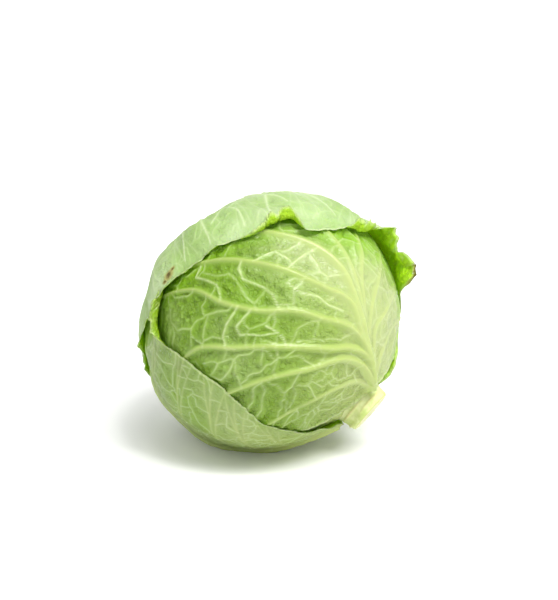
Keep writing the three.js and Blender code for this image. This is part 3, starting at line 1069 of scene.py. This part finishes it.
def leaf_skin(name, pale, green, vein, link, under, roughness, bump):
    s = Skin(name)
    mottle = s.noise(MOTTLING, 5, 0.65)
    bubble = s.noise(BLISTERS, 2, 0.5, 0.9)
    crumple = s.noise(WRINKLES, 4, 0.6, 0.4)
    grain = s.noise(GRAIN, 3, 0.6)
    where = s.node("ShaderNodeTexCoord", {}, {}, "Object")
    cells = s.node("ShaderNodeTexVoronoi", {"feature": "DISTANCE_TO_EDGE"},
                   {"Vector": where, "Scale": SKIN_CELLS})
    net = 1 - cells.between(0.0, 0.16)
    calm = 1 - s.painted("vein") * 0.8
    quilted = 0.2 + s.painted("pit") * (0.35 + s.painted("deep") * 1.1) + s.painted("inner") * 0.7
    height = (bubble * 2.0 + crumple * 0.9 + grain * 0.2 + net * 0.3) * quilted * calm
    shine = roughness + mottle * 0.16 - 0.08 + s.painted("dead") * 0.3
    colour = leaf_colour(s, pale, green, vein, link, under, mottle, bubble)
    s.let_light_through(LIGHT_THROUGH, SHARE_THROUGH)
    return s.finish(colour, shine, height, bump, Subsurface_Weight=0.12, Subsurface_Scale=0.002,
                    Subsurface_Radius=(0.6, 1.0, 0.15), Specular_IOR_Level=0.65, IOR=1.42)


# Colours of the palest and the greenest blade, the veins, the links and rim, and the inner side, then
# the roughness and the depth of the bump in metres. The inner side's yellow-green is its own, but it
# is set brighter than that, most on the cap leaf, as painted light that stands in for light shining
# through the leaf.
LEAF_SKINS = (
    ("green leaf", (182, 196, 136), (130, 168, 42), (198, 208, 132), (226, 236, 180), (168, 208, 30),
     0.25, 0.0012),
    ("cap leaf", (219, 230, 194), (156, 188, 100), (230, 239, 198), (234, 242, 196), (196, 242, 32),
     0.46, 0.0007),
    ("pale leaf", (214, 226, 166), (184, 206, 116), (230, 238, 190), (228, 238, 186), (190, 210, 120),
     0.38, 0.0006),
)
green_skin, cap_skin, pale_skin = (
    leaf_skin(name, *(srgb(*colour) for colour in colours), roughness, bump)
    for name, *colours, roughness, bump in LEAF_SKINS)


def stalk_skin():
    s = Skin("stalk flesh")
    cut, ring = s.painted("cut"), s.painted("ring")
    mottle = s.noise(120, 4, 0.6)
    speck = s.noise(600, 3, 0.6)
    flesh = s.mix(mottle.between(0.35, 0.7), srgb(214, 210, 176), srgb(200, 202, 152))
    rind = s.mix(mottle.between(0.4, 0.65), srgb(204, 212, 150), srgb(180, 196, 114))
    face = s.mix(ring.between(0.72, 0.80) * (1 - ring.between(0.86, 0.94)), flesh, srgb(206, 204, 140))
    face = s.mix(ring.between(0.93, 1.0), face, srgb(176, 190, 104))
    dry = mottle.between(0.52, 0.72) * speck.between(0.4, 0.7) * 0.45
    face = s.mix(dry, face, srgb(186, 160, 104))
    colour = s.mix(cut, rind, face)
    colour = s.mix(s.painted("scar") * 0.6, colour, srgb(186, 170, 110))
    height = mottle * 0.5 + speck * 0.4
    return s.finish(colour, 0.42 + mottle * 0.2, height, 0.0005, Subsurface_Weight=0.25,
                    Subsurface_Scale=0.003, Subsurface_Radius=(1.0, 0.9, 0.5), Specular_IOR_Level=0.4)


# %% [markdown]
# ## The stalk
# The stalk is cut square with a knife. Its end shows a pale pith, a ring of tougher, yellower strands
# and a thin green rind, and it has dried and sunk a little in the middle. Its side carries the
# crescent scars of leaves that have been pulled off. It starts as a cylinder in the place of the
# imported stalk, the end face is inset ring by ring, the side is cut into rings, and the points of each
# ring are then moved by given amounts.

# %% Stalk
STALK_RADIUS = 15.4
STALK_END = 86.0
CORE_TIP = 26.0
CORE_TIP_RADIUS = 5.0
CORE_SHOULDER = 62.0
COLLAR = 2.6
STALK_SIDES = 144
SIDE_CUTS = 90
END_RINGS = 16
ALMOST_ALONG = 0.9  # an edge or normal this close to the axis counts as along it
# Turn round the stalk in radians, place along it in millimetres, half width of the crescent, and lean.
SCARS = ((0.4, 81.5, 1.1, 1.5), (2.6, 79.0, 1.3, -1.0), (4.6, 82.5, 1.0, 1.2), (5.6, 77.5, 1.2, 0.8))


def rough_stalk(axis):
    """A cylinder along the stalk, its side cut into rings and its two ends inset ring by ring."""
    middle_of_stalk = Vector(MIDDLE) + axis * (STALK_END + CORE_TIP) / 2
    deselect_all()
    bpy.ops.mesh.primitive_cylinder_add(
        vertices=STALK_SIDES, radius=STALK_RADIUS * MM, depth=(STALK_END - CORE_TIP) * MM,
        location=middle_of_stalk * MM, rotation=axis.to_track_quat("Z", "Y").to_euler())
    stalk = bpy.context.object
    bpy.ops.object.transform_apply(location=True, rotation=True, scale=True)
    bpy.ops.object.mode_set(mode="EDIT")
    bpy.ops.mesh.select_mode(type="EDGE")
    bpy.ops.mesh.select_all(action="DESELECT")
    bpy.ops.object.mode_set(mode="OBJECT")
    points = points_of(stalk)
    for edge in stalk.data.edges:
        run = points[edge.vertices[1]] - points[edge.vertices[0]]
        edge.select = bool(abs(run @ np.array(axis)) > ALMOST_ALONG * np.linalg.norm(run))
    bpy.ops.object.mode_set(mode="EDIT")
    bpy.ops.mesh.subdivide(number_cuts=SIDE_CUTS)
    for facing in (1, -1):
        bpy.ops.mesh.select_mode(type="FACE")
        bpy.ops.mesh.select_all(action="DESELECT")
        bpy.ops.object.mode_set(mode="OBJECT")
        for face in stalk.data.polygons:
            face.select = face.normal.dot(axis) * facing > ALMOST_ALONG
        bpy.ops.object.mode_set(mode="EDIT")
        for _ in range(END_RINGS):
            bpy.ops.mesh.inset(thickness=0.95 * STALK_RADIUS / END_RINGS * MM)
        bpy.ops.mesh.poke()
    bpy.ops.object.mode_set(mode="OBJECT")
    return stalk


def scar_height(turn, s):
    """1 on the crest of a leaf scar, 0 away from the scars."""
    scar = np.zeros(len(s))
    for place, at, spread, lean in SCARS:
        gap = (turn - place + np.pi) % (2 * np.pi) - np.pi
        crest = at + lean * (gap / spread) ** 2
        mark = np.exp(-(((s - crest) / 0.7) ** 2)) * (1 - smooth(np.abs(gap) / spread))
        scar = np.maximum(scar, mark)
    return scar


def make_stalk():
    axis = Vector(-CROWN)
    stalk = rough_stalk(axis)
    points = points_of(stalk) / MM - MIDDLE
    s = points @ np.array(axis)
    radial = points - s[:, None] * np.array(axis)
    r = np.linalg.norm(radial, axis=1)
    out = radial / np.maximum(r, 1e-6)[:, None]
    turn = np.arctan2(out @ TURN_90, out @ TURN_0)
    on_end = s > STALK_END - 0.01
    on_side = ~on_end & (s > CORE_TIP + 0.01)
    scar = scar_height(turn, s)
    widening = np.clip((s - CORE_TIP) / (CORE_SHOULDER - CORE_TIP), 0, 1)
    profile = CORE_TIP_RADIUS + (STALK_RADIUS - CORE_TIP_RADIUS) * widening
    profile = profile + COLLAR * (1 - smooth((s - 70) / 10)) * smooth((s - 64) / 5)
    uneven = 0.35 * np.cos(5 * turn + 0.6) + 0.22 * np.cos(8 * turn + 2.0) + 0.25 * hills(points, 9, 5)
    worn = 0.9 * smooth((s - STALK_END + 1.8) / 1.8) ** 2
    side_radius = profile + uneven * smooth((s - 58) / 8) + 0.9 * scar - worn
    share = np.clip(r / STALK_RADIUS, 0, 1)
    end_radius = share * (STALK_RADIUS + uneven - 0.9)
    sunk = -0.9 * (1 - smooth(share / 0.72)) + 0.35 * np.exp(-(((share - 0.78) / 0.07) ** 2))
    sunk = sunk + 0.12 * hills(points, 3.2, 6) + 0.2 * hills(points, 7, 7)
    radius = np.where(on_end, end_radius, np.where(on_side, side_radius, share * CORE_TIP_RADIUS))
    along = s + np.where(on_end, sunk * (1 - smooth((share - 0.9) / 0.1)), 0)
    move_points(stalk, (MIDDLE + out * radius[:, None] + along[:, None] * np.array(axis)) * MM)
    paint(stalk, "cut", np.where(on_end, 1, 0))
    paint(stalk, "ring", np.where(on_end, share, 1))
    paint(stalk, "scar", scar)
    return finish_piece(stalk, "cut_stalk", ["stalk"], stalk_skin())


make_stalk()


# %% [markdown]
# ## All the leaves
# The covered leaves show only at the back and beside the stalk, so a plain margin, calm quilting and a
# coarser grid are enough for them. The three outermost leaves get a grid of about half a millimetre
# to a millimetre, so that their small links and creases are true shape.

# %% Build the leaves
fine, rough_grid = ((282, 120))
# Quilting, crinkles and spacing of the links of each covered leaf, from inside to outside.
COVERED = ((0.3, 0.2, 24), (0.3, 0.2, 24), (0.6, 0.4, 22), (0.7, 0.5, 22), (0.7, 0.5, 22))
FAINT = 0.4

cap_veins = ruled_veins(BLADES[CAP], 17, pairs=5, width=1.7, height=0.6)
for vein in cap_veins:
    if vein.rank == MAIN and vein.flat[-1, 1] > 0:
        vein.clear = FAINT  # on this side the drawn ones show instead
cap_veins = cap_veins + cap_lines()
looks = [
    LeafLook(rough_grid, quilt, crinkle, Margin(BLADES[k], 3 + 2 * k), ruled_veins(BLADES[k], 11 + k),
             spacing, 11 + 10 * k)
    for k, (quilt, crinkle, spacing) in enumerate(COVERED)
] + [
    LeafLook(fine, 2.6, 2.6, Margin(BLADES[FRONT], 13), front_veins(), 27, 61, puff=0.9,
             two_toned=True),
    LeafLook(fine, 1.2, 1.0, Margin(BLADES[LEFT], 41, LEFT_HEM), ruled_veins(BLADES[LEFT], 16), 20, 71,
             frill=0.9),
    LeafLook(fine, 0.9, 0.8, Margin(BLADES[CAP], 31, CAP_HEM), cap_veins, 32, 81, rise=34, frill=2.6,
             link_clear=0.35, blemished=True),
]
skins = {0: (pale_skin, "pale_leaf"), 1: (pale_skin, "pale_leaf"), CAP: (cap_skin, "cap_leaf")}
for index, look in enumerate(looks):
    skin, slot_name = skins.get(index, (green_skin, "green_leaf"))
    make_leaf(index, look, skin)


# %% [markdown]
# ## The heart
# The closed ball of inner leaves is almost wholly wrapped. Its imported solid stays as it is, and only
# gets the finish of a pale leaf, in case a sliver of it shows between two margins.

# %% Finish of the heart
heart = bpy.data.objects["heart"]
heart.data.materials.clear()
heart.data.materials.append(pale_skin)

# %% [markdown]
# ## Studio
# The camera stands in front and a little above, and looks just past the middle of the head.

# %% Camera
VIEW_DISTANCE = 1.0
LENS, SENSOR = 93.1, 36  # millimetres
AIM_RIGHT, AIM_UP = 0.0051, 0.0149  # metres from the middle of the head


def placed(name, data, place, heading):
    """A camera or a lamp at a place, looking along a heading."""
    holder = bpy.data.objects.new(name, data)
    bpy.context.scene.collection.objects.link(holder)
    holder.location = place
    holder.rotation_euler = heading.to_track_quat("-Z", "Y").to_euler()
    return holder


tilt = math.radians(FACE_ELEVATION)
middle = Vector(MIDDLE * MM)
eye = middle + Vector(FACE) * VIEW_DISTANCE
aim = middle + Vector((AIM_RIGHT, 0, 0)) + Vector((0, math.sin(tilt), math.cos(tilt))) * AIM_UP
lens = bpy.data.cameras.new("camera")
lens.lens, lens.sensor_width, lens.clip_end = LENS, SENSOR, 20
bpy.context.scene.camera = placed("camera", lens, eye, aim - eye)

# %% [markdown]
# The head lies on white paper in a bright room. A broad lamp high on the right gives soft shading.
# A smaller lamp and a softbox above the front bring out the gloss of the waxy skin.

# %% Light and floor
BRIGHTNESS_ALL_ROUND = 0.85
SOFTBOX_SIDE, SOFTBOX_DISTANCE = Vector((0.2, -0.38, 0.9)), 1.3
FLOOR_SIZE = 60


def lamp_far_away(name, strength, breadth, heading):
    """A lamp whose light arrives parallel; a broader one (in degrees) casts softer shadows."""
    sun = bpy.data.lights.new(name, "SUN")
    sun.energy, sun.angle = strength, math.radians(breadth)
    placed(name, sun, (0, 0, 0), Vector(heading))


lamp_far_away("window light", 1.65, 24, (-0.55, 0.45, -0.95))
lamp_far_away("small lamp for the glints", 0.5, 7, (-0.2, 0.38, -0.9))
softbox = bpy.data.lights.new("softbox", "AREA")
softbox.shape, softbox.size, softbox.energy = "DISK", 0.8, 9.5
placed("softbox", softbox, middle + SOFTBOX_SIDE * SOFTBOX_DISTANCE, -SOFTBOX_SIDE)
world = bpy.data.worlds.new("studio")
world.use_nodes = True
world.node_tree.nodes["Background"].inputs["Color"].default_value = (1, 1, 1, 1)
world.node_tree.nodes["Background"].inputs["Strength"].default_value = BRIGHTNESS_ALL_ROUND
bpy.context.scene.world = world
deselect_all()
bpy.ops.mesh.primitive_plane_add(size=FLOOR_SIZE)
floor = bpy.context.object
floor.name = "floor"
paper = Skin("paper")
paper.surface.inputs["Base Color"].default_value = (0.9, 0.9, 0.9, 1)
paper.surface.inputs["Roughness"].default_value = 0.8
floor.data.materials.append(paper.material)
bpy.context.scene.view_settings.view_transform = "Standard"
